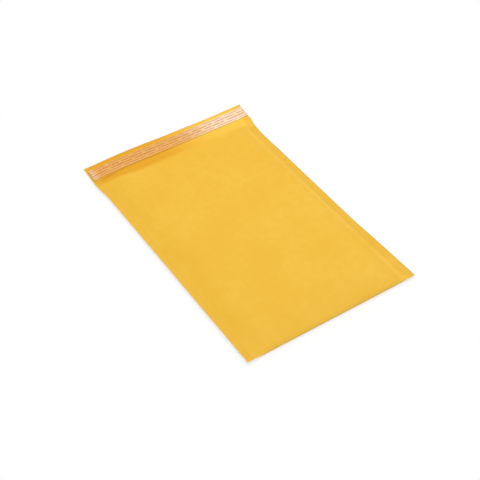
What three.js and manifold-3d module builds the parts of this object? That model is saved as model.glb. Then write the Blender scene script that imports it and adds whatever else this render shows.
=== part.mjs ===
// Bubble mailer: a padded kraft paper envelope lying on its back panel, with its closing flap open.
// Millimetres, +Z up, X across the mailer, +Y from the folded bottom edge towards the mouth and the flap.
import * as THREE from "three";
import { mergeVertices } from "three/addons/utils/BufferGeometryUtils.js";
import Module from "manifold-3d";

// Overall sizes
const FLAT_WIDTH = 241.3; // width of the paper web, which the free flap keeps
const SIDE_DRAW = 2.65; // how far the padding draws each side seam in
const BODY_LENGTH = 360; // from the bottom fold to the mouth
const FLAP_DEPTH = 37; // from the mouth to the cut edge of the flap
const THICKNESS = 11; // floor to top panel, empty and unpressed

// Paper and clearances
const KRAFT = 0.3; // paper wall
const PLY_GAP = 0.1; // between the two plies of a side border, outside its seal
const CLEARANCE = 0.3; // between pieces that are bonded face to face

// Side seams and shoulders
const SEAM_WIDTH = 9; // flat heat-sealed border along each side
const SEAM_HEIGHT = 3.5; // middle of that border above the floor
const TOP_SHOULDER = 22; // run of the upper slope between border and flat panel
const BOTTOM_SHOULDER = 14; // run of the lower slope
const SEAL_INSET = 0.2; // bare ply edge outside the seal, on every side

// Bottom fold
const FOLD_RADIUS = 4;
const FOLD_SHOULDER = 42; // run of the slope from the fold up to the flat panel
const FOLD_SHARE = 0.3; // part of the panel's rise that the round fold makes

// Mouth
const FILM_SETBACK = 14; // the lining ends this far inside the lip
const LIP_DROP = 2.6; // how far the unlined lip sinks
const FLARE_RUN = 40; // length over which the sides widen to the flap
const MOUTH_CUT = 10; // how far the mouth's cutting shape runs past the lip

// Bubble lining
const BUBBLE_PAD = 2.6; // height of film and bubble together
const FILM = 0.5; // flat film under the bubbles
const BUBBLE_RADIUS = 4.7;
const BUBBLE_PITCH = 11.5;
const BUBBLE_ROWS = 2; // rows modelled one by one behind the lip
const BUBBLE_SIDES = 8;
const BUBBLE_SHOULDER = 0.6; // share of the bubble's height at which it starts to round over
const BUBBLE_CROWN = 0.72; // share of the radius left near the top
const LINER_EDGE = 4; // how far past the seam the lining begins
const POCKET_EDGE = 9.5; // how far past the seam the clear pocket begins

// Flap, glue and release strip
const FLAP_LEAN = 2.5; // the cut edge lies this far to the right of the mouth
const FLAP_HUMP = 4.6; // the flap springs up this far from its crease before it sinks
const HUMP_RUN = 9; // from the crease to the top of that rise
const HUMP_FADE_SHARE = 0.8; // share of the half width from which the rise fades
const HUMP_END_SHARE = 0.97; // share at which it has sunk away
const STRIP_WIDTH = 22;
const STRIP_THICKNESS = 0.25;
const STRIP_MARGIN = 9.4; // mean kraft border outside the strip
const STRIP_SKEW = 1.2; // the strip is laid this far off at each end
const STRIP_END_GAP = 2; // strip ends to the flap's sides
const GLUE_WIDTH = 16;
const GLUE_THICKNESS = 0.3;
const GLUE_END_GAP = 5;
const TIP_LEFT = 0.6; // height of the flap's cut edge above the floor, from left to right
const TIP_LEFT_WAVE = 2.4;
const TIP_MIDDLE = 0.9;
const TIP_RIGHT_WAVE = 0.4;
const TIP_RIGHT = 1.2;
const WAVE_SHARE = 0.5; // where the two waves stand, as a share of the half width

// Mesh steps
const MERGE_REACH = 1e-4; // corners closer than this become one
const ARC_STEPS = 4;
const SHOULDER_STEPS = 5;
const STATION_GAP = 1; // least distance between two stations
const PANEL_STEPS = 3;
const FLARE_STEPS = 3;
const LIP_STEPS = 3;
const HALF_PANEL_STEPS = 3;
const FLAP_STEPS_ALONG = 12;
const BAND_STEPS_ALONG = 8;

// Colours from the photograph
const KRAFT_GOLD = 0xefbd48;
const FILM_CLEAR = 0xe9eef0;
const GLUE_AMBER = 0xe6d9a8;
const RELEASE_PEACH = 0xf4d8c4;

const wasm = await Module();
wasm.setup();

// Solids
function toSolid(geometry) {
  const bare = geometry.clone();
  bare.deleteAttribute("normal");
  bare.deleteAttribute("uv");
  const merged = mergeVertices(bare, MERGE_REACH);
  return new wasm.Manifold(
    new wasm.Mesh({
      numProp: 3,
      vertProperties: new Float32Array(merged.attributes.position.array),
      triVerts: new Uint32Array(merged.index.array),
    }),
  );
}

function toGeometry(solid) {
  const mesh = solid.getMesh();
  const geometry = new THREE.BufferGeometry();
  geometry.setAttribute("position", new THREE.BufferAttribute(new Float32Array(mesh.vertProperties), 3));
  geometry.setIndex(new THREE.BufferAttribute(new Uint32Array(mesh.triVerts), 1));
  const faceted = geometry.toNonIndexed();
  faceted.computeVertexNormals();
  return faceted;
}

// A block with a grid of stations, each corner of it moved to place(across, along, upper)
function gridBlock(acrossSteps, alongSteps, place) {
  const geometry = new THREE.BoxGeometry(1, 1, 1, acrossSteps, alongSteps, 1);
  const position = geometry.attributes.position;
  for (let i = 0; i < position.count; i++) {
    const across = Math.round((position.getX(i) + 0.5) * acrossSteps);
    const along = Math.round((position.getY(i) + 0.5) * alongSteps);
    const [x, y, z] = place(across, along, position.getZ(i) > 0);
    position.setXYZ(i, x, y, z);
  }
  return geometry;
}

// Values from start to end in equal steps, without the start
function spread(start, end, steps) {
  return Array.from({ length: steps }, (_, i) => start + ((end - start) * (i + 1)) / steps);
}

// Form of the padded body
const clamp01 = (value) => THREE.MathUtils.clamp(value, 0, 1);
const easeOut = (share) => Math.sin((clamp01(share) * Math.PI) / 2);
const roundNose = (share) => Math.sqrt(1 - (1 - clamp01(share)) ** 2);
const bodyHalfWidth = FLAT_WIDTH / 2 - SIDE_DRAW;
const topRoot = SEAM_HEIGHT + PLY_GAP / 2; // inner faces of the two plies of a side border
const bottomRoot = SEAM_HEIGHT - PLY_GAP / 2;

function halfWidth(y) {
  const flare = THREE.MathUtils.smoothstep(y, BODY_LENGTH - FLARE_RUN, BODY_LENGTH);
  return bodyHalfWidth + SIDE_DRAW * flare;
}

// Rise of the paper's inner face over the seam, and its fall below, so far in from the seam and the fold
function topRise(inset, y) {
  const nose = FOLD_SHARE * roundNose(y / FOLD_RADIUS);
  const slope = (1 - FOLD_SHARE) * easeOut(y / FOLD_SHOULDER);
  return (THICKNESS - topRoot - KRAFT) * easeOut(inset / TOP_SHOULDER) * (nose + slope);
}

function bottomRise(inset, y) {
  return (bottomRoot - KRAFT) * easeOut(inset / BOTTOM_SHOULDER) * roundNose(y / FOLD_RADIUS);
}

function lipDrop(y) {
  return LIP_DROP * THREE.MathUtils.smoothstep(y, BODY_LENGTH - FILM_SETBACK, BODY_LENGTH);
}

// Top and bottom of a layer that lies depth inside the paper's inner face, or outside it if negative
function layerTop(x, y, depth) {
  const inset = halfWidth(y) - SEAM_WIDTH - Math.abs(x);
  const drop = lipDrop(y) * easeOut(inset / TOP_SHOULDER);
  return topRoot + topRise(inset, y - depth) - depth - drop;
}

function layerBottom(x, y, depth) {
  const inset = halfWidth(y) - SEAM_WIDTH - Math.abs(x);
  return bottomRoot - bottomRise(inset, y - depth) + depth;
}

// Stations across: insets from the side edge down to the shoulder's end, then shares of the flat panel
const shoulderEnd = SEAM_WIDTH + TOP_SHOULDER;

function acrossStations(edge, panelSteps = 1) {
  const shoulder = [SEAM_WIDTH, ...spread(SEAM_WIDTH, shoulderEnd, SHOULDER_STEPS)];
  const insets = [edge, ...shoulder.filter((inset) => inset > edge + STATION_GAP)];
  const half = [
    ...insets.map((inset) => ({ inset, panel: 1 })),
    ...spread(1, 0, panelSteps).map((panel) => ({ inset: shoulderEnd, panel })),
  ];
  const left = half.map((station) => ({ ...station, side: -1 }));
  const right = half.slice(0, -1).reverse();
  return [...left, ...right.map((station) => ({ ...station, side: 1 }))];
}

function stationX({ inset, panel, side }, y) {
  return side * (halfWidth(y) - inset) * panel;
}

// Stations along: the round fold, the slope behind it, the flat panel, the flare and the lip
function alongStations(start, end) {
  const nose = Array.from({ length: ARC_STEPS }, (_, i) => {
    const angle = (Math.PI / 2) * (i / ARC_STEPS);
    return start + FOLD_RADIUS * (1 - Math.cos(angle));
  });
  const liningEnd = BODY_LENGTH - FILM_SETBACK;
  const slope = [start + FOLD_RADIUS, ...spread(start + FOLD_RADIUS, start + FOLD_SHOULDER, SHOULDER_STEPS)];
  const panel = spread(start + FOLD_SHOULDER, BODY_LENGTH - FLARE_RUN, PANEL_STEPS);
  const flare = spread(BODY_LENGTH - FLARE_RUN, liningEnd, FLARE_STEPS);
  const lip = end > liningEnd ? spread(liningEnd, Math.min(end, BODY_LENGTH), LIP_STEPS) : [];
  const past = end > BODY_LENGTH ? [end] : [];
  return [...nose, ...slope, ...panel, ...flare, ...lip, ...past];
}

// A pad whose faces lie depth inside the paper, starting edge in from the side and start from the fold
function pad(edge, start, end, depth) {
  const stations = acrossStations(edge);
  const ys = alongStations(start, end);
  return gridBlock(stations.length - 1, ys.length - 1, (across, along, upper) => {
    const level = Math.min(ys[along], BODY_LENGTH);
    const x = stationX(stations[across], level);
    return [x, ys[along], upper ? layerTop(x, level, depth) : layerBottom(x, level, depth)];
  });
}

// Flap surface
const tipCurve = new THREE.SplineCurve([
  new THREE.Vector2(-1, TIP_LEFT),
  new THREE.Vector2(-WAVE_SHARE, TIP_LEFT_WAVE),
  new THREE.Vector2(0, TIP_MIDDLE),
  new THREE.Vector2(WAVE_SHARE, TIP_RIGHT_WAVE),
  new THREE.Vector2(1, TIP_RIGHT),
]);

// The flap's stations across, as shares from -1 to 1, and its heights there at the mouth and at the cut edge
const webStations = acrossStations(0, HALF_PANEL_STEPS);
const shares = webStations.map((station) => stationX(station, BODY_LENGTH) / (FLAT_WIDTH / 2));
const rootHeights = shares.map((share) => layerBottom((share * FLAT_WIDTH) / 2, BODY_LENGTH, 0) - KRAFT);
const tipHeights = shares.map((share) => tipCurve.getPoint((share + 1) / 2).y);

function heightAt(heights, share) {
  const next = Math.max(1, shares.findIndex((station) => station >= share));
  const part = (share - shares[next - 1]) / (shares[next] - shares[next - 1]);
  return THREE.MathUtils.lerp(heights[next - 1], heights[next], part);
}

// Underside of the flap at a share across and a distance past the mouth
function flapPoint(share, past) {
  const out = clamp01(past / FLAP_DEPTH);
  const x = (share * FLAT_WIDTH) / 2 + FLAP_LEAN * out;
  const fade = 1 - THREE.MathUtils.smoothstep(Math.abs(share), HUMP_FADE_SHARE, HUMP_END_SHARE);
  const hump = FLAP_HUMP * easeOut(past / HUMP_RUN) * (1 - out) * fade;
  const z = THREE.MathUtils.lerp(heightAt(rootHeights, share), heightAt(tipHeights, share), out) + hump;
  return [x, BODY_LENGTH + past, z];
}

// A sheet that lies on the flap: its height over the underside, and where its inner and outer edges run
function flapSheet(lift, thickness, innerEdge, outerEdge, endGap) {
  const reach = 1 - (2 * endGap) / FLAT_WIDTH;
  const inner = shares.filter((share) => Math.abs(share) < reach - STATION_GAP / FLAT_WIDTH);
  const stations = [-reach, ...inner, reach];
  return gridBlock(stations.length - 1, BAND_STEPS_ALONG, (across, along, upper) => {
    const share = stations[across];
    const past = THREE.MathUtils.lerp(innerEdge(share), outerEdge(share), along / BAND_STEPS_ALONG);
    const [x, y, z] = flapPoint(share, past);
    return [x, y, z + lift + (upper ? thickness : 0)];
  });
}

const stripMiddle = (share) => FLAP_DEPTH - STRIP_MARGIN - STRIP_WIDTH / 2 + STRIP_SKEW * share;

function bandOnFlap(lift, thickness, width, endGap) {
  const inner = (share) => stripMiddle(share) - width / 2;
  const outer = (share) => stripMiddle(share) + width / 2;
  return flapSheet(lift, thickness, inner, outer, endGap);
}

// The paper web from the lip, down the front panel, round the fold, up the back panel and out to the flap
function foldedWeb() {
  const ys = alongStations(0, BODY_LENGTH);
  const front = [...ys].reverse().map((y) => ({ y, layer: layerTop, out: KRAFT }));
  const back = ys.map((y) => ({ y, layer: layerBottom, out: -KRAFT }));
  const flap = spread(0, FLAP_DEPTH, FLAP_STEPS_ALONG).map((past) => ({ past }));
  const rows = [...front, ...back, ...flap];
  return gridBlock(webStations.length - 1, rows.length - 1, (across, along, inner) => {
    const { y, layer, out, past } = rows[along];
    if (past !== undefined) {
      const [x, flapY, z] = flapPoint(shares[across], past);
      return [x, flapY, z + (inner ? KRAFT : 0)];
    }
    const x = stationX(webStations[across], y);
    const nose = KRAFT * (1 - clamp01(y / FOLD_RADIUS));
    return inner ? [x, y + nose, layer(x, y, 0)] : [x, y, layer(x, y, 0) + out];
  });
}

// Heat seal that joins the two plies of a side border
function sideSeal(side) {
  const insets = side < 0 ? [SEAL_INSET, SEAM_WIDTH] : [SEAM_WIDTH, SEAL_INSET];
  const ys = alongStations(SEAL_INSET, BODY_LENGTH - SEAL_INSET);
  return gridBlock(1, ys.length - 1, (across, along, upper) => {
    const x = side * (halfWidth(ys[along]) - insets[across]);
    return [x, ys[along], SEAM_HEIGHT + (upper ? KRAFT / 2 : -KRAFT / 2)];
  });
}

// Kraft envelope: front and back panels, bottom fold, side seams and flap, folded from one web
function kraftEnvelope() {
  const web = toSolid(foldedWeb());
  return toGeometry(web.add(toSolid(sideSeal(-1))).add(toSolid(sideSeal(1))));
}

// One air bubble, standing on the film at z = 0
function bubbleShape() {
  const height = BUBBLE_PAD - FILM;
  const profile = [
    new THREE.Vector2(0, -FILM / 2),
    new THREE.Vector2(BUBBLE_RADIUS, -FILM / 2),
    new THREE.Vector2(BUBBLE_RADIUS, height * BUBBLE_SHOULDER),
    new THREE.Vector2(BUBBLE_RADIUS * BUBBLE_CROWN, height),
    new THREE.Vector2(0, height),
  ];
  return new THREE.LatheGeometry(profile, BUBBLE_SIDES).rotateX(Math.PI / 2);
}

// A bubble set square on the film, which slopes near the sides
function standOn(bubble, layer, x, y) {
  const depth = CLEARANCE + FILM;
  const climb = layer(x + BUBBLE_RADIUS, y, depth) - layer(x - BUBBLE_RADIUS, y, depth);
  const tilt = Math.atan2(climb, 2 * BUBBLE_RADIUS);
  return bubble.rotateY(-tilt).translate(x, y, layer(x, y, depth));
}

// Bubble lining: a film folded like the envelope, plain inside, with its last rows of bubbles at the mouth
function bubbleLiner() {
  const linerEnd = BODY_LENGTH - FILM_SETBACK;
  const rowsStart = linerEnd - BUBBLE_ROWS * BUBBLE_PITCH;
  const outside = toSolid(pad(SEAM_WIDTH + LINER_EDGE, KRAFT + CLEARANCE, linerEnd, CLEARANCE));
  const pocketStart = KRAFT + CLEARANCE + BUBBLE_PAD;
  const pocketDepth = CLEARANCE + BUBBLE_PAD;
  const pocket = toSolid(pad(SEAM_WIDTH + POCKET_EDGE, pocketStart, BODY_LENGTH + MOUTH_CUT, pocketDepth));
  const rowsCut = toSolid(rowsSpace(rowsStart, CLEARANCE + FILM));
  const bubble = bubbleShape();
  let liner = outside.subtract(pocket).subtract(rowsCut);
  for (let row = 0; row < BUBBLE_ROWS; row++) {
    const y = linerEnd - (row + 0.5) * BUBBLE_PITCH;
    const room = halfWidth(y) - SEAM_WIDTH - POCKET_EDGE - BUBBLE_RADIUS;
    const count = Math.floor((2 * room) / BUBBLE_PITCH) + (row % 2);
    for (let i = 0; i < count; i++) {
      const x = (i - (count - 1) / 2) * BUBBLE_PITCH;
      liner = liner.add(toSolid(standOn(bubble.clone(), layerBottom, x, y)));
      liner = liner.add(toSolid(standOn(bubble.clone().rotateX(Math.PI), layerTop, x, y)));
    }
  }
  return toGeometry(liner);
}

// The space over the flat film of the last rows, open at the mouth
function rowsSpace(start, depth) {
  const stations = acrossStations(SEAM_WIDTH + POCKET_EDGE);
  const ys = [start, ...spread(start, BODY_LENGTH + MOUTH_CUT, FLARE_STEPS)];
  return gridBlock(stations.length - 1, ys.length - 1, (across, along, upper) => {
    const level = Math.min(ys[along], BODY_LENGTH - FILM_SETBACK);
    const x = stationX(stations[across], level);
    return [x, ys[along], upper ? layerTop(x, level, depth) : layerBottom(x, level, depth)];
  });
}

// Named pieces
const mailer = new THREE.Group();

function addPiece(name, geometry, color, roughness) {
  const material = new THREE.MeshStandardMaterial({ color, roughness, metalness: 0 });
  const mesh = new THREE.Mesh(geometry, material);
  mesh.name = name;
  mailer.add(mesh);
  return mesh;
}

const glueLift = KRAFT + CLEARANCE;
const stripLift = glueLift + GLUE_THICKNESS + CLEARANCE;
addPiece("kraft_envelope", kraftEnvelope(), KRAFT_GOLD, 0.75);
addPiece("bubble_liner", bubbleLiner(), FILM_CLEAR, 0.3);
addPiece("adhesive_band", bandOnFlap(glueLift, GLUE_THICKNESS, GLUE_WIDTH, GLUE_END_GAP), GLUE_AMBER, 0.4);
addPiece("release_strip", bandOnFlap(stripLift, STRIP_THICKNESS, STRIP_WIDTH, STRIP_END_GAP), RELEASE_PEACH, 0.5);

// The origin is the middle of the mailer's footprint, on the floor
const bounds = new THREE.Box3().setFromObject(mailer);
const middle = bounds.getCenter(new THREE.Vector3());
mailer.children.forEach((piece) => piece.position.set(-middle.x, -middle.y, -bounds.min.z));

export default mailer;
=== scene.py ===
"""A padded kraft paper mailer with its flap open.

Its pieces are the folded web, the bubble lining, the glue band and the release strip.
"""

import math

import bpy
from mathutils import Matrix, Vector, noise


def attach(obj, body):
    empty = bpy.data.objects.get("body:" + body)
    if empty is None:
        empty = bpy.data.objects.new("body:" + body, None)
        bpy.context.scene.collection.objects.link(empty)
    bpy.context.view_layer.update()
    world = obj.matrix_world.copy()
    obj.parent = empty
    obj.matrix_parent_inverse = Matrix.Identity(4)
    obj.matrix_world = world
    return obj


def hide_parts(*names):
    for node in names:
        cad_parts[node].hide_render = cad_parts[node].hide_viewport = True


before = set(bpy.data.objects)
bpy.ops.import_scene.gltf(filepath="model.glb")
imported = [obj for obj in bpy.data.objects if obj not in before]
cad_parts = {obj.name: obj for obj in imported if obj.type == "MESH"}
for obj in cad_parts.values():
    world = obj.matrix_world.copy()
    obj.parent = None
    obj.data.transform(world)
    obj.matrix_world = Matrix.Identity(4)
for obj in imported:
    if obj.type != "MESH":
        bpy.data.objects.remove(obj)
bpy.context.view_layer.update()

# Sizes in metres; y runs from the bottom fold, x from the middle of the body
FLAT_WIDTH = 0.2413
SIDE_DRAW = 0.00265  # how far the padding draws each side in
BODY_LENGTH = 0.360
FLAP_DEPTH = 0.037
THICKNESS = 0.011
KRAFT = 0.0003
PLY_GAP = 0.0001  # between the two plies of a seam
CLEARANCE = 0.0003  # between the lining and the paper
SEAM_WIDTH = 0.009
SEAM_HEIGHT = 0.0035  # middle of the seam above the floor
SEAM_INSETS = (0, 0.0012, 0.003, 0.005, 0.007, 0.0084)  # rows of points across a seam
TOP_SHOULDER = 0.022  # run of the slope from the seam up to the flat panel
LEFT_SHOULDER = 0.036  # the left slope is longer and softer
BOTTOM_SHOULDER = 0.014
FOLD_RADIUS = 0.004
FOLD_SHOULDER = 0.042
FOLD_SHARE = 0.30  # part of the panel's rise that the round fold makes
FILM_SETBACK = 0.014  # the lining ends this far inside the lip
LIP_DROP = 0.0026  # how far the unlined lip sinks
LIP_LEAD = 0.004  # the lip starts to sink this far inside the film's end
LIP_OVERRUN = 0.001
FLARE_RUN = 0.040  # length over which the sides widen to the flap
FLAP_LEAN = 0.0025  # the cut edge lies this far to the right of the mouth
RIGHT_LEAN = 0.0055  # the flap's right end leans out further
RIGHT_TRIM = 0.0014  # and its cut edge falls back there
RIGHT_DRAW = 0.0014  # the right side is drawn in more than the left
RIGHT_SAG = 0.0018  # and its seam hangs lower
BODY_MIDDLE = -0.00125  # where the middle of the body lies in the row frame
FOLD_PLACE = -0.1985  # where the bottom fold lies in the row frame

# Bubble film
FILM = 0.00012
BUBBLE_PAD = 0.0026  # height of a full bubble
BUBBLE_RADIUS = 0.0047
BUBBLE_ROUNDING = 0.0016
BUBBLE_PITCH = 0.0112
BUBBLE_LEAST = 0.0008  # a lower bubble than this is left out
LINER_EDGE = 0.004  # how far past the seam the lining begins

# Flap pieces
STRIP_WIDTH = 0.022
STRIP_THICKNESS = 0.0002
STRIP_MARGIN = 0.0086  # mean kraft border outside the strip
STRIP_SKEW = 0.0003  # the strip is laid this far off at each end
STRIP_END_GAP = 0.0017
STRIP_SHIFT = 0.0009  # the strip lies this far to the right on the flap
GLUE_WIDTH = 0.016
GLUE_THICKNESS = 0.0002
GLUE_END_GAP = 0.005
STACK_GAP = 0.0001  # between the paper, the glue and the strip
FLAP_HUMP = 0.0050  # the flap springs up from its crease before it sinks
HUMP_RUN = 0.009  # from the crease to the top of that rise
HUMP_TILT = 0.45  # the rise is this share higher on the left and lower on the right
HUMP_FADE = 0.8  # share of the half width from which the rise fades
HUMP_END = 0.97
CREASE_DEPTH = 0.0002
CREASE_PLACE = 0.0015  # the pressed crease lies this far past the mouth
CREASE_REACH = 0.0012
FLAP_WAVE = 0.00035
# Heights of the cut edge, each at a share of the half width
TIP_HEIGHTS = ((-1, 0.0012), (-0.5, 0.0026), (0, 0.0009), (0.5, 0.0004), (1, 0.0012))

TOP_ROOT = SEAM_HEIGHT + PLY_GAP / 2
BOTTOM_ROOT = SEAM_HEIGHT - PLY_GAP / 2

# Places on the flat sheet where the paint changes, from the middle of the web
SEAM_LINE = (0.1109, 0.1123)
EDGE_LINE = (0.1189, 0.1199)
RIDGE_HIGHLIGHT_PLACE = 0.105
# The lip and flap past the lining's end get painted shade on the left and painted light towards
# the right
LIP_SHADE_FROM, LIP_SHADE_TO = BODY_LENGTH - 0.021, BODY_LENGTH - 0.011
LIP_SHADE_LEFT = 0.010  # on the left the painted shade of the lip starts this much further out
CUT_EDGE = BODY_LENGTH + FLAP_DEPTH

# Print on the release strip
PRINT_ROW = 0.0052
PRINT_BLOCK = 0.036
PRINT_DASH = 0.0135
PRINT_STROKE = 0.0011


# Form of the padded body
def clamp01(value):
    return min(1.0, max(0.0, value))


def ease_out(share):
    return math.sin(clamp01(share) * math.pi / 2)


def round_nose(share):
    return math.sqrt(1 - (1 - clamp01(share)) ** 2)


def smooth(value, low, high):
    share = clamp01((value - low) / (high - low))
    return share * share * (3 - 2 * share)


def half_width(y):
    return FLAT_WIDTH / 2 - SIDE_DRAW * (1 - smooth(y, BODY_LENGTH - FLARE_RUN, BODY_LENGTH))


def inset_of(x, y):
    """How far in from the seam a place is."""
    return half_width(y) - SEAM_WIDTH - abs(x)


def shoulder(x):
    return TOP_SHOULDER + (LEFT_SHOULDER - TOP_SHOULDER) * smooth(-x, -0.01, 0.01)


def top_rise(x, y, fold_gap):
    """Rise of the front panel over the seam, for a layer that turns fold_gap inside the fold."""
    nose = FOLD_SHARE * round_nose((y - fold_gap) / FOLD_RADIUS)
    slope = (1 - FOLD_SHARE) * ease_out((y - fold_gap) / FOLD_SHOULDER)
    full = THICKNESS - TOP_ROOT - KRAFT
    return full * ease_out(inset_of(x, y) / shoulder(x)) * (nose + slope)


def bottom_rise(inset, y):
    return (BOTTOM_ROOT - KRAFT) * ease_out(inset / BOTTOM_SHOULDER) * round_nose(y / FOLD_RADIUS)


def lip_drop(y):
    start = BODY_LENGTH - FILM_SETBACK - LIP_LEAD
    return LIP_DROP * smooth(y, start, BODY_LENGTH + LIP_OVERRUN)


def wander(x, y, scale, seed):
    """Smooth noise from -1 to 1 with features about 1 / scale long."""
    return noise.noise(Vector((x * scale, y * scale, seed)))


def panel_sway(x, y):
    """Slow waves of the padded face."""
    broad = 0.0007 * wander(x, y, 11, 3.1)
    fine = 0.00028 * wander(x, y, 34, 8.4)
    return (broad + fine) * smooth(inset_of(x, y), 0, TOP_SHOULDER) * smooth(y, 0.002, 0.03)


def gathers(x, y):
    """Short puckers that run in from the side seams and fade on the face."""
    inset = inset_of(x, y)
    side = 1 if x > 0 else -1
    place = y + 0.004 * wander(side * 0.3, y, 30, 1.7) + 0.25 * inset * wander(side, y, 14, 6.2)
    ridge = wander(side * 0.5, place, 95, 5.5)
    strength = 0.35 + 0.65 * smooth(wander(side * 0.7, y, 18, 2.9), -0.25, 0.4)
    fade = smooth(inset, -0.001, 0.004) * (1 - smooth(inset, 0.004, 0.026))
    return 0.00075 * ridge * strength * fade


def seam_ripple(x, y):
    side = 1 if x > 0 else -1
    near_edge = smooth(abs(x), half_width(y) - 0.02, half_width(y))
    return 0.0005 * wander(side * 0.9, y, 16, 4.3) * near_edge


def layer_top(x, y, depth):
    """Height of a layer that lies depth inside the front panel's inner face."""
    drop = lip_drop(y) * ease_out(inset_of(x, y) / shoulder(x))
    return TOP_ROOT + top_rise(x, y, depth) - depth - drop


def layer_bottom(x, y, depth):
    return BOTTOM_ROOT - bottom_rise(inset_of(x, y), y - depth) + depth


def in_frame(x, y, z):
    """A place on the mailer in the row frame, with its right side drawn in and lowered."""
    side = smooth(y, 0, 0.13) * (1 - smooth(y, 0.345, BODY_LENGTH))
    drawn = RIGHT_DRAW * side * smooth(x, 0.05, 0.12)
    lowered = RIGHT_SAG * side * smooth(x, 0.105, 0.114)
    return Vector((x - drawn + BODY_MIDDLE, y + FOLD_PLACE, z - lowered))


# Flap surface
def tip_height(share):
    """Height of the flap's cut edge: a smooth curve through its chosen points."""
    points = TIP_HEIGHTS
    last = len(points) - 1
    place = next(i for i in range(1, last + 1) if share <= points[i][0] or i == last)
    before, start = points[max(0, place - 2)][1], points[place - 1]
    end, after = points[place], points[min(last, place + 1)][1]
    part = clamp01((share - start[0]) / (end[0] - start[0]))
    a, b = start[1], end[1]
    run_in, run_out = (b - before) / 2, (after - a) / 2
    return (
        (2 * part**3 - 3 * part**2 + 1) * a
        + (part**3 - 2 * part**2 + part) * run_in
        + (3 * part**2 - 2 * part**3) * b
        + (part**3 - part**2) * run_out
    )


def flap_point(share, past, lift=0.0):
    """Underside of the flap, so far out past the mouth."""
    out = clamp01(past / FLAP_DEPTH)
    x = share * FLAT_WIDTH / 2
    root = layer_bottom(x, BODY_LENGTH, 0) - KRAFT
    z = root + (tip_height(share) - root) * out
    hump = FLAP_HUMP * (1 - HUMP_TILT * share) * (1 - smooth(abs(share), HUMP_FADE, HUMP_END))
    z += hump * ease_out(past / HUMP_RUN) * (1 - out)
    z -= CREASE_DEPTH * math.exp(-(((past - CREASE_PLACE) / CREASE_REACH) ** 2))
    z += FLAP_WAVE * out * wander(x, past, 22, 9.3)
    trim = RIGHT_TRIM * smooth(share, 0.2, 0.55) * smooth(out, 0.78, 1.0)
    lean = FLAP_LEAN + (RIGHT_LEAN - FLAP_LEAN) * max(share, 0)
    return in_frame(x + lean * out, BODY_LENGTH + past - trim, max(z, 0.0) + lift)


def steps(start, end, count):
    return [start + (end - start) * i / count for i in range(count)]


def across_stations():
    """Distances in from the side edge, with the share of the flat panel that is left there."""
    panel = SEAM_WIDTH + TOP_SHOULDER
    insets = [*SEAM_INSETS, *steps(SEAM_WIDTH, panel, 15)]
    half = [(inset, 1.0) for inset in insets] + [(panel, share) for share in steps(1, 0, 24)]
    left = [(-1, inset, share) for inset, share in half]
    right = [(1, inset, share) for inset, share in reversed(half)]
    return left + [(1, panel, 0.0)] + right


def along_stations(start, end, pitch):
    nose = [start + FOLD_RADIUS * (1 - math.cos(math.pi / 2 * i / 7)) for i in range(7)]
    straight = end - start - FOLD_RADIUS
    count = round(straight / pitch)
    return nose + steps(start + FOLD_RADIUS, end, count) + [end]


def shaped_grid(name, columns, rows, place):
    """A sheet with a grid of points.

    place(column, row) gives where each point lies and its place on the flat sheet.
    """
    bpy.ops.object.select_all(action="DESELECT")
    bpy.ops.mesh.primitive_grid_add(x_subdivisions=columns - 1, y_subdivisions=rows - 1, size=1)
    sheet = bpy.context.object
    sheet.name = sheet.data.name = name
    flat = sheet.data.attributes.new("flat", "FLOAT_VECTOR", "POINT")
    for index, vertex in enumerate(sheet.data.vertices):
        point, cut = place(index % columns, index // columns)
        vertex.co = point
        flat.data[index].vector = cut
    return sheet


def finish_sheet(sheet, thickness):
    """Gives a sheet its thickness and smooth faces."""
    bpy.ops.object.select_all(action="DESELECT")
    bpy.context.view_layer.objects.active = sheet
    sheet.select_set(True)
    wall = sheet.modifiers.new("wall", "SOLIDIFY")
    wall.thickness = thickness
    wall.offset = 0
    bpy.ops.object.modifier_apply(modifier=wall.name)
    bpy.ops.object.shade_smooth_by_angle(angle=math.radians(40))


# The folded paper web
def kraft_web():
    across = across_stations()
    ys = along_stations(0, BODY_LENGTH, 0.0021)
    flap = steps(0, FLAP_DEPTH, 22)[1:] + [FLAP_DEPTH]
    rows = [("front", y) for y in reversed(ys)]
    rows += [("back", y) for y in ys]
    rows += [("flap", past) for past in flap]

    def place(column, row):
        side, inset, share = across[column]
        panel, y = rows[row]
        cut_x = side * (FLAT_WIDTH / 2 - inset) * share
        if panel == "flap":
            point = flap_point(cut_x / (FLAT_WIDTH / 2), y, KRAFT / 2)
            return point, (cut_x, BODY_LENGTH + y, 0)
        x = side * (half_width(y) - inset) * share
        if panel == "front":
            z = layer_top(x, y, 0) + panel_sway(x, y) + gathers(x, y) + seam_ripple(x, y)
            return in_frame(x, y, z + KRAFT / 2), (cut_x, -y, 0)
        z = layer_bottom(x, y, 0) + seam_ripple(x, y)
        return in_frame(x, y, max(z - KRAFT / 2, KRAFT / 2)), (cut_x, y, 0)

    web = shaped_grid("kraft_web", len(across), len(rows), place)
    finish_sheet(web, KRAFT)
    return web


# The bubble film
def film_height(x, y, upper):
    """Height of the film's inner face, which meets the other side of the pocket near the seams."""
    depth = CLEARANCE + BUBBLE_PAD
    middle = (layer_top(x, y, CLEARANCE) + layer_bottom(x, y, CLEARANCE)) / 2
    if upper:
        return max(layer_top(x, y, depth), middle + FILM)
    return min(layer_bottom(x, y, depth), middle - FILM)


def film_bag():
    end = BODY_LENGTH - FILM_SETBACK
    start = CLEARANCE + BUBBLE_PAD
    columns = 57
    ys = along_stations(start, end, 0.0045)
    rows = [(True, y) for y in reversed(ys)] + [(False, y) for y in ys]

    def place(column, row):
        upper, y = rows[row]
        share = 2 * column / (columns - 1) - 1
        x = share * (half_width(y) - SEAM_WIDTH - LINER_EDGE)
        return in_frame(x, y, film_height(x, y, upper)), (x, -y if upper else y, 0)

    bag = shaped_grid("bubble_film", columns, len(rows), place)
    finish_sheet(bag, FILM)
    return bag


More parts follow.
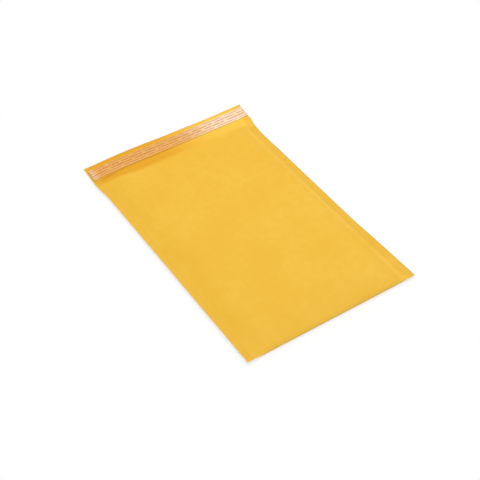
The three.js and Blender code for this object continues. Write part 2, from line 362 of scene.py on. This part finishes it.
def one_bubble():
    """A full-height bubble that stands on z = 0."""
    bpy.ops.object.select_all(action="DESELECT")
    bpy.ops.mesh.primitive_cylinder_add(
        vertices=10, radius=BUBBLE_RADIUS, depth=BUBBLE_PAD, location=(0, 0, BUBBLE_PAD / 2)
    )
    bubble = bpy.context.object
    bpy.ops.object.transform_apply(location=True)
    bpy.ops.object.mode_set(mode="EDIT")
    bpy.ops.mesh.select_mode(type="EDGE")
    bpy.ops.mesh.select_all(action="DESELECT")
    bpy.ops.object.mode_set(mode="OBJECT")
    points = bubble.data.vertices
    for edge in bubble.data.edges:
        edge.select = all(points[i].co.z > 0.9 * BUBBLE_PAD for i in edge.vertices)
    bpy.ops.object.mode_set(mode="EDIT")
    bpy.ops.mesh.bevel(offset=BUBBLE_ROUNDING, segments=2, profile=0.5, affect="EDGES")
    bpy.ops.object.mode_set(mode="OBJECT")
    wall = bubble.data.attributes.new("wall", "FLOAT", "POINT")
    for point in bubble.data.vertices:
        rise = point.co.z / BUBBLE_PAD
        wall.data[point.index].value = 1.0 if rise < 0.5 else 0.5 if rise < 0.99 else 0.0
    return bubble


def bubble_places():
    """Staggered rows of bubbles on both sides of the pocket."""
    row_pitch = BUBBLE_PITCH * math.sqrt(3) / 2
    first = FOLD_RADIUS + BUBBLE_RADIUS + 0.002
    last = BODY_LENGTH - FILM_SETBACK - BUBBLE_RADIUS
    for row in range(int((last - first) / row_pitch) + 1):
        y = last - row * row_pitch
        room = half_width(y) - SEAM_WIDTH - LINER_EDGE - BUBBLE_RADIUS
        number = int(room / BUBBLE_PITCH) + 1
        xs = [(i + 0.5 * (row % 2)) * BUBBLE_PITCH for i in range(-number, number + 1)]
        for x in xs:
            if abs(x) <= room:
                yield x, y, True
                yield x, y, False


def bubble_stand(x, y, upper):
    """The matrix that stands a bubble on the film, as high as the paper lets it be.

    It is None where there is no room for one.
    """
    layer = layer_top if upper else layer_bottom
    reach = BUBBLE_RADIUS * 0.8
    around = [(dx, dy) for dx in (-reach, 0, reach) for dy in (-reach, reach)]
    ceiling = [layer(x + dx, y + dy, CLEARANCE) for dx, dy in around]
    film = film_height(x, y, upper)
    height = min(ceiling) - film if upper else film - max(ceiling)
    if height < BUBBLE_LEAST:
        return None
    climb = (layer(x + reach, y, CLEARANCE) - layer(x - reach, y, CLEARANCE)) / (2 * reach)
    turn = Matrix.Rotation(-math.atan(climb), 4, "Y")
    flip = Matrix.Identity(4) if upper else Matrix.Rotation(math.pi, 4, "X")
    squash = Matrix.Diagonal((1, 1, height / BUBBLE_PAD, 1))
    return Matrix.Translation(in_frame(x, y, film)) @ turn @ flip @ squash


def bubble_lining():
    """The film bag with its bubbles, which stand out towards the paper."""
    bag = film_bag()
    bubble = one_bubble()
    bpy.ops.object.select_all(action="DESELECT")
    for x, y, upper in bubble_places():
        stand = bubble_stand(x, y, upper)
        if stand is None:
            continue
        copy = bpy.data.objects.new("bubble", bubble.data.copy())
        copy.data.transform(stand)
        bpy.context.scene.collection.objects.link(copy)
        copy.select_set(True)
    bpy.data.objects.remove(bubble)
    bag.select_set(True)
    bpy.context.view_layer.objects.active = bag
    bpy.ops.object.join()
    bpy.ops.object.shade_smooth_by_angle(angle=math.radians(50))
    bag.name = bag.data.name = "bubble_lining"
    return bag


# Glue band and release strip
def strip_middle(share):
    return FLAP_DEPTH - STRIP_MARGIN - STRIP_WIDTH / 2 + STRIP_SKEW * share


def band_on_flap(name, width, end_gap, shift, thickness, lift, columns, rows, wave):
    """A band that follows the flap; wave(share, across) lifts its points a little."""
    reach = 1 - 2 * end_gap / FLAT_WIDTH

    def place(column, row):
        share = reach * (2 * column / (columns - 1) - 1) + shift / (FLAT_WIDTH / 2)
        across = row / (rows - 1) - 0.5
        past = strip_middle(share) + across * width
        point = flap_point(share, past, lift + thickness / 2)
        point.z += wave(share, across)
        return point, (share * FLAT_WIDTH / 2, across * width, 0)

    band = shaped_grid(name, columns, rows, place)
    finish_sheet(band, thickness)
    return band


def glue_wave(share, across):
    edge = 1 - smooth(abs(across), 0.36, 0.5)
    return 0.00012 * edge * wander(share * 0.12, across * 0.02, 260, 7.7)


def strip_wave(share, across):
    end = smooth(abs(share), 0.93, 0.985)
    cockle = 0.00014 * (0.5 + 0.5 * wander(share * 0.12, across * 0.025, 42, 2.2))
    droop = 0.00022 * smooth(abs(across), 0.36, 0.5) * (1 - end)
    return cockle - droop + 0.0005 * end * (0.4 + 0.6 * abs(across) * 2)


# Shader maths
class Value:
    """A number that changes over the surface. Python's operators add the Math nodes."""

    def __init__(self, paint, socket):
        self.paint = paint
        self.socket = socket

    def maths(self, operation, *terms):
        node = self.paint.node("ShaderNodeMath", {"operation": operation}, dict(enumerate(terms)))
        return Value(self.paint, node.outputs[0])

    def __add__(self, other):
        return self.maths("ADD", self, other)

    def __sub__(self, other):
        return self.maths("SUBTRACT", self, other)

    def __mul__(self, other):
        return self.maths("MULTIPLY", self, other)

    def __truediv__(self, other):
        return self.maths("DIVIDE", self, other)

    def __rsub__(self, other):
        return self.maths("SUBTRACT", other, self)

    __radd__ = __add__
    __rmul__ = __mul__

    def fraction(self):
        return self.maths("FRACT", self)

    def floor(self):
        return self.maths("FLOOR", self)

    def size(self):
        return self.maths("ABSOLUTE", self)

    def root(self):
        return self.maths("SQRT", self)

    def wave(self):
        return self.maths("SINE", self)

    def at_most(self, limit):
        return self.maths("MINIMUM", self, limit)

    def below(self, limit):
        return self.maths("LESS_THAN", self, limit)

    def ramp(self, low, high):
        """From 0 at low to 1 at high, smoothly."""
        values = {"Value": self, "From Min": low, "From Max": high}
        node = self.paint.node("ShaderNodeMapRange", {"interpolation_type": "SMOOTHSTEP"}, values)
        return Value(self.paint, node.outputs[0])


class Paint:
    """The nodes of a procedural material, or of the world."""

    def __init__(self, owner):
        owner.use_nodes = True
        self.owner = owner
        self.tree = owner.node_tree
        self.tree.nodes.clear()

    def node(self, kind, settings=None, values=None):
        node = self.tree.nodes.new(kind)
        for key, setting in (settings or {}).items():
            setattr(node, key, setting)
        for key, value in (values or {}).items():
            socket = node.inputs[key]
            if isinstance(value, Value):
                self.tree.links.new(value.socket, socket)
            elif isinstance(value, bpy.types.NodeSocket):
                self.tree.links.new(value, socket)
            else:
                socket.default_value = value
        return node

    def place(self):
        """Object coordinates, in metres."""
        return self.node("ShaderNodeTexCoord").outputs["Object"]

    def flat(self):
        """The place on the sheet before it was folded, in metres."""
        return self.node("ShaderNodeAttribute", {"attribute_name": "flat"}).outputs["Vector"]

    def stretched(self, vector, scale, turn=0.0):
        values = {"Vector": vector, "Scale": scale, "Rotation": (0, 0, turn)}
        return self.node("ShaderNodeMapping", None, values).outputs[0]

    def noise(self, vector, scale, detail=2.0, roughness=0.5):
        values = {"Vector": vector, "Scale": scale, "Detail": detail, "Roughness": roughness}
        return Value(self, self.node("ShaderNodeTexNoise", None, values).outputs[0])

    def split(self, vector):
        node = self.node("ShaderNodeSeparateXYZ", None, {"Vector": vector})
        return [Value(self, socket) for socket in node.outputs]

    def backdrop_rays(self):
        """1 for a ray from the camera, off gloss or through film, and 0 for a ray of light."""
        rays = self.node("ShaderNodeLightPath").outputs
        kinds = ("Is Camera Ray", "Is Glossy Ray", "Is Transmission Ray")
        camera, gloss, film = (Value(self, rays[kind]) for kind in kinds)
        return (camera + gloss + film).at_most(1.0)

    def mix(self, factor, first, second):
        node = self.node("ShaderNodeMix", {"data_type": "RGBA"}, {0: factor, 6: first, 7: second})
        return node.outputs[2]

    def bump(self, height, strength, distance):
        values = {"Height": height, "Strength": strength, "Distance": distance}
        return self.node("ShaderNodeBump", None, values).outputs[0]

    def finish(self, values):
        shader = self.node("ShaderNodeBsdfPrincipled", None, values)
        self.node("ShaderNodeOutputMaterial", None, {"Surface": shader.outputs[0]})
        return self.owner


def colour(red, green, blue):
    """A colour as it is seen on screen, from 0 to 255, as the shader's linear numbers."""
    parts = [c / 255 for c in (red, green, blue)]
    linear = [p / 12.92 if p <= 0.04045 else ((p + 0.055) / 1.055) ** 2.4 for p in parts]
    return (*linear, 1.0)


def kraft_paint():
    paint = Paint(bpy.data.materials.new("golden_kraft"))
    place = paint.place()
    flat = paint.flat()
    across, along, _ = paint.split(flat)
    cloud = paint.noise(place, 16, 2, 0.5)
    mottle = paint.noise(place, 85, 4, 0.6)
    machine = paint.noise(paint.stretched(flat, (520, 28, 1)), 1, 3, 0.6)
    fibre = paint.noise(paint.stretched(flat, (2300, 420, 1), 0.5), 1, 2, 0.6)
    cross_fibre = paint.noise(paint.stretched(flat, (2300, 420, 1), -0.7), 1, 2, 0.6)
    strands = fibre.ramp(0.60, 0.75) + cross_fibre.ramp(0.60, 0.75)
    base = paint.mix(cloud.ramp(0.3, 0.7), colour(234, 182, 50), colour(237, 188, 59))
    base = paint.mix(mottle.ramp(0.35, 0.65) * 0.30, base, colour(230, 174, 41))
    base = paint.mix(machine.ramp(0.45, 0.7) * 0.16, base, colour(244, 200, 72))
    base = paint.mix(strands * 0.14, base, colour(218, 156, 36))
    # Painted shade and painted light: past the lining's end the lip and flap go a shaded deep
    # orange on the left and a lit yellow on the right
    left_side = 1 - across.ramp(-0.112, -0.060)
    lip_shade_mask = (along.size() - LIP_SHADE_LEFT * left_side).ramp(LIP_SHADE_FROM, LIP_SHADE_TO)
    right_end = across.ramp(-0.03, 0.075)
    lip_shade_and_light = paint.mix(right_end, colour(228, 162, 20), colour(245, 195, 64))
    base = paint.mix(lip_shade_mask, base, lip_shade_and_light)
    # Painted shade: a darker line along the flap's crease
    crease_shade = 1 - (along - (BODY_LENGTH + CREASE_PLACE)).size().ramp(0, CREASE_REACH)
    base = paint.mix(crease_shade * 0.45, base, colour(216, 152, 44))
    # Painted highlight: a lighter line along the round bottom fold
    fold_highlight = 1 - along.size().ramp(0.0004, 0.0022)
    base = paint.mix(fold_highlight * 0.35, base, colour(250, 210, 104))
    seam = across.size().ramp(*SEAM_LINE)
    base = paint.mix(seam * 0.45, base, colour(224, 174, 48))
    # Painted highlight along the left side edge and painted shade along the right side edge
    edge_rim_light_shade = across.size().ramp(*EDGE_LINE)
    edge_highlight_and_shade = paint.mix(across.ramp(-0.01, 0.01), colour(246, 200, 84), colour(196, 150, 44))
    base = paint.mix(edge_rim_light_shade * 0.4, base, edge_highlight_and_shade)
    # Painted highlight: a soft lighter line on the right shoulder, inside the seam
    ridge = 1 - (across - RIDGE_HIGHLIGHT_PLACE).size().ramp(0.001, 0.005)
    base = paint.mix(ridge * (0.08 + 0.2 * cloud), base, colour(250, 206, 96))
    # Painted shade: a dark line along the flap's cut edge
    flap_edge_shade = along.ramp(CUT_EDGE - 0.0014, CUT_EDGE - 0.0004)
    base = paint.mix(flap_edge_shade * 0.5, base, colour(204, 146, 36))
    grain = strands * 0.35 + mottle * 0.9 + machine * 0.5
    pressed = (along * 900).wave() * seam * 0.25
    values = {
        "Base Color": base,
        "Roughness": 0.60 + 0.14 * mottle - 0.05 * seam,
        "Specular IOR Level": 0.28,
        "Normal": paint.bump(grain + pressed, 0.35, 0.00012),
    }
    return paint.finish(values)


def film_paint():
    paint = Paint(bpy.data.materials.new("clear_bubble_film"))
    haze = paint.noise(paint.place(), 160, 3, 0.6)
    attribute = paint.node("ShaderNodeAttribute", {"attribute_name": "wall"})
    wall = Value(paint, attribute.outputs["Fac"])
    values = {
        "Base Color": colour(242, 246, 248),
        "Roughness": 0.10 + 0.12 * haze,
        "Alpha": 0.42 + 0.16 * haze + 0.30 * wall,
        "Coat Weight": 0.3,
        "Normal": paint.bump(haze, 0.2, 0.0003),
    }
    return paint.finish(values)


def glue_paint():
    paint = Paint(bpy.data.materials.new("hot_melt_glue"))
    flow = paint.noise(paint.stretched(paint.flat(), (60, 700, 1)), 1, 3, 0.5)
    values = {
        "Base Color": paint.mix(flow.ramp(0.3, 0.7), colour(226, 210, 160), colour(240, 230, 190)),
        "Roughness": 0.18 + 0.15 * flow,
        "Coat Weight": 0.4,
        "Normal": paint.bump(flow, 0.4, 0.0004),
    }
    return paint.finish(values)


def release_paint():
    """Release paper with rows of plain red dashes in blocks, offset like bricks."""
    paint = Paint(bpy.data.materials.new("release_paper"))
    along, across, _ = paint.split(paint.flat())
    rows = across / PRINT_ROW + 20.0
    row = rows.floor()
    line = (rows.fraction() - 0.5).size().below(0.17)
    block = ((along / PRINT_BLOCK + row * 0.5 + 20.0).fraction() - 0.45).size().below(0.43)
    dash = (along / PRINT_DASH + row * 0.37 + 40.0).fraction().below(0.93)
    stroke = (along / PRINT_STROKE + row * 0.2 + 90.0).fraction().below(0.86)
    faint = paint.noise(paint.flat(), 240, 2, 0.5)
    strength = 1 - 0.30 * across.size().ramp(PRINT_ROW - 0.0002, PRINT_ROW + 0.0002)
    ink = line * block * dash * stroke * strength * (0.62 + 0.3 * faint)
    mottle = paint.noise(paint.place(), 60, 3, 0.6)
    pale = paint.mix(mottle.ramp(0.3, 0.7), colour(246, 210, 168), colour(250, 220, 184))
    # Painted shade: the strip's left part is a shaded deep orange, fading to its own pale colour
    # towards the right
    strip_shade = paint.mix(mottle.ramp(0.3, 0.7), colour(224, 160, 66), colour(229, 168, 76))
    base = paint.mix(along.ramp(0.0, 0.09), strip_shade, pale)
    # Painted highlight: the strip's last few millimetres on the left are lighter
    left_end_highlight = 1 - along.ramp(-0.1135, -0.1095)
    base = paint.mix(left_end_highlight * 0.6, base, colour(232, 204, 168))
    values = {
        "Base Color": paint.mix(ink, base, colour(176, 70, 44)),
        "Roughness": 0.38 + 0.14 * mottle,
        "Specular IOR Level": 0.5,
        "Normal": paint.bump(mottle, 0.15, 0.0002),
    }
    return paint.finish(values)


# Pieces of the mailer
def dress(piece, node, material):
    piece.data.materials.clear()
    piece.data.materials.append(material)
    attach(piece, "root")
    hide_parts(node)


dress(kraft_web(), "kraft_envelope", kraft_paint())
dress(bubble_lining(), "bubble_liner", film_paint())
glue_lift = KRAFT + STACK_GAP
glue = band_on_flap(
    "glue_band", GLUE_WIDTH, GLUE_END_GAP, 0, GLUE_THICKNESS, glue_lift, 121, 13, glue_wave
)
dress(glue, "adhesive_band", glue_paint())
strip_lift = glue_lift + GLUE_THICKNESS + STACK_GAP
strip = band_on_flap(
    "release_strip_paper", STRIP_WIDTH, STRIP_END_GAP, STRIP_SHIFT,
    STRIP_THICKNESS, strip_lift, 161, 13, strip_wave,
)
dress(strip, "release_strip", release_paint())


# Floor, light and camera
def floor_paint():
    """Pale floor that shows white all round and keeps the shadow by the mailer."""
    paint = Paint(bpy.data.materials.new("pale_floor"))
    across, along, _ = paint.split(paint.place())
    distance = (across * across + along * along).root()
    whiteness = 0.72 + 0.28 * distance.ramp(0.24, 0.42)
    diffuse = paint.node("ShaderNodeBsdfDiffuse", None, {"Color": colour(250, 250, 250)})
    white = paint.node("ShaderNodeEmission", None, {"Color": (1, 1, 1, 1), "Strength": 1.0})
    seen = paint.backdrop_rays() * whiteness
    shares = {0: seen, 1: diffuse.outputs[0], 2: white.outputs[0]}
    lifted = paint.node("ShaderNodeMixShader", None, shares)
    paint.node("ShaderNodeOutputMaterial", None, {"Surface": lifted.outputs[0]})
    return paint.owner


def studio_light(world):
    """Soft even light that the camera, gloss and film see as a white backdrop."""
    paint = Paint(world)
    soft = paint.node("ShaderNodeBackground", None, {"Color": (1, 1, 1, 1), "Strength": 0.47})
    white = paint.node("ShaderNodeBackground", None, {"Color": (1, 1, 1, 1), "Strength": 1.0})
    shares = {0: paint.backdrop_rays(), 1: soft.outputs[0], 2: white.outputs[0]}
    chosen = paint.node("ShaderNodeMixShader", None, shares)
    paint.node("ShaderNodeOutputWorld", None, {"Surface": chosen.outputs[0]})


bpy.ops.object.select_all(action="DESELECT")
bpy.ops.mesh.primitive_plane_add(size=8, location=(0, 0, 0))
floor = bpy.context.object
floor.name = "floor"
floor.data.materials.append(floor_paint())

bpy.context.scene.world = bpy.data.worlds.new("studio")
studio_light(bpy.context.scene.world)


def softbox(name, place, width, power):
    """A square lamp that faces the mailer."""
    lamp = bpy.data.lights.new(name, "AREA")
    lamp.size = width
    lamp.energy = power
    box = bpy.data.objects.new(name, lamp)
    bpy.context.scene.collection.objects.link(box)
    box.location = place
    box.rotation_euler = (-Vector(place)).to_track_quat("-Z", "Y").to_euler()


softbox("key_light", (0.44, 0.30, 1.7), 1.0, 17.7)
softbox("fill_light", (-1.2, -0.7, 1.5), 1.4, 7.3)

bpy.ops.object.camera_add(
    location=(-0.53246, -0.87667, 0.98239),
    rotation=tuple(math.radians(a) for a in (45.22197, 1.68218, -32.82068)),
)
camera = bpy.context.object
camera.data.lens = 84.85
camera.data.sensor_width = 36
bpy.context.scene.camera = camera
bpy.context.scene.view_settings.view_transform = "Standard"
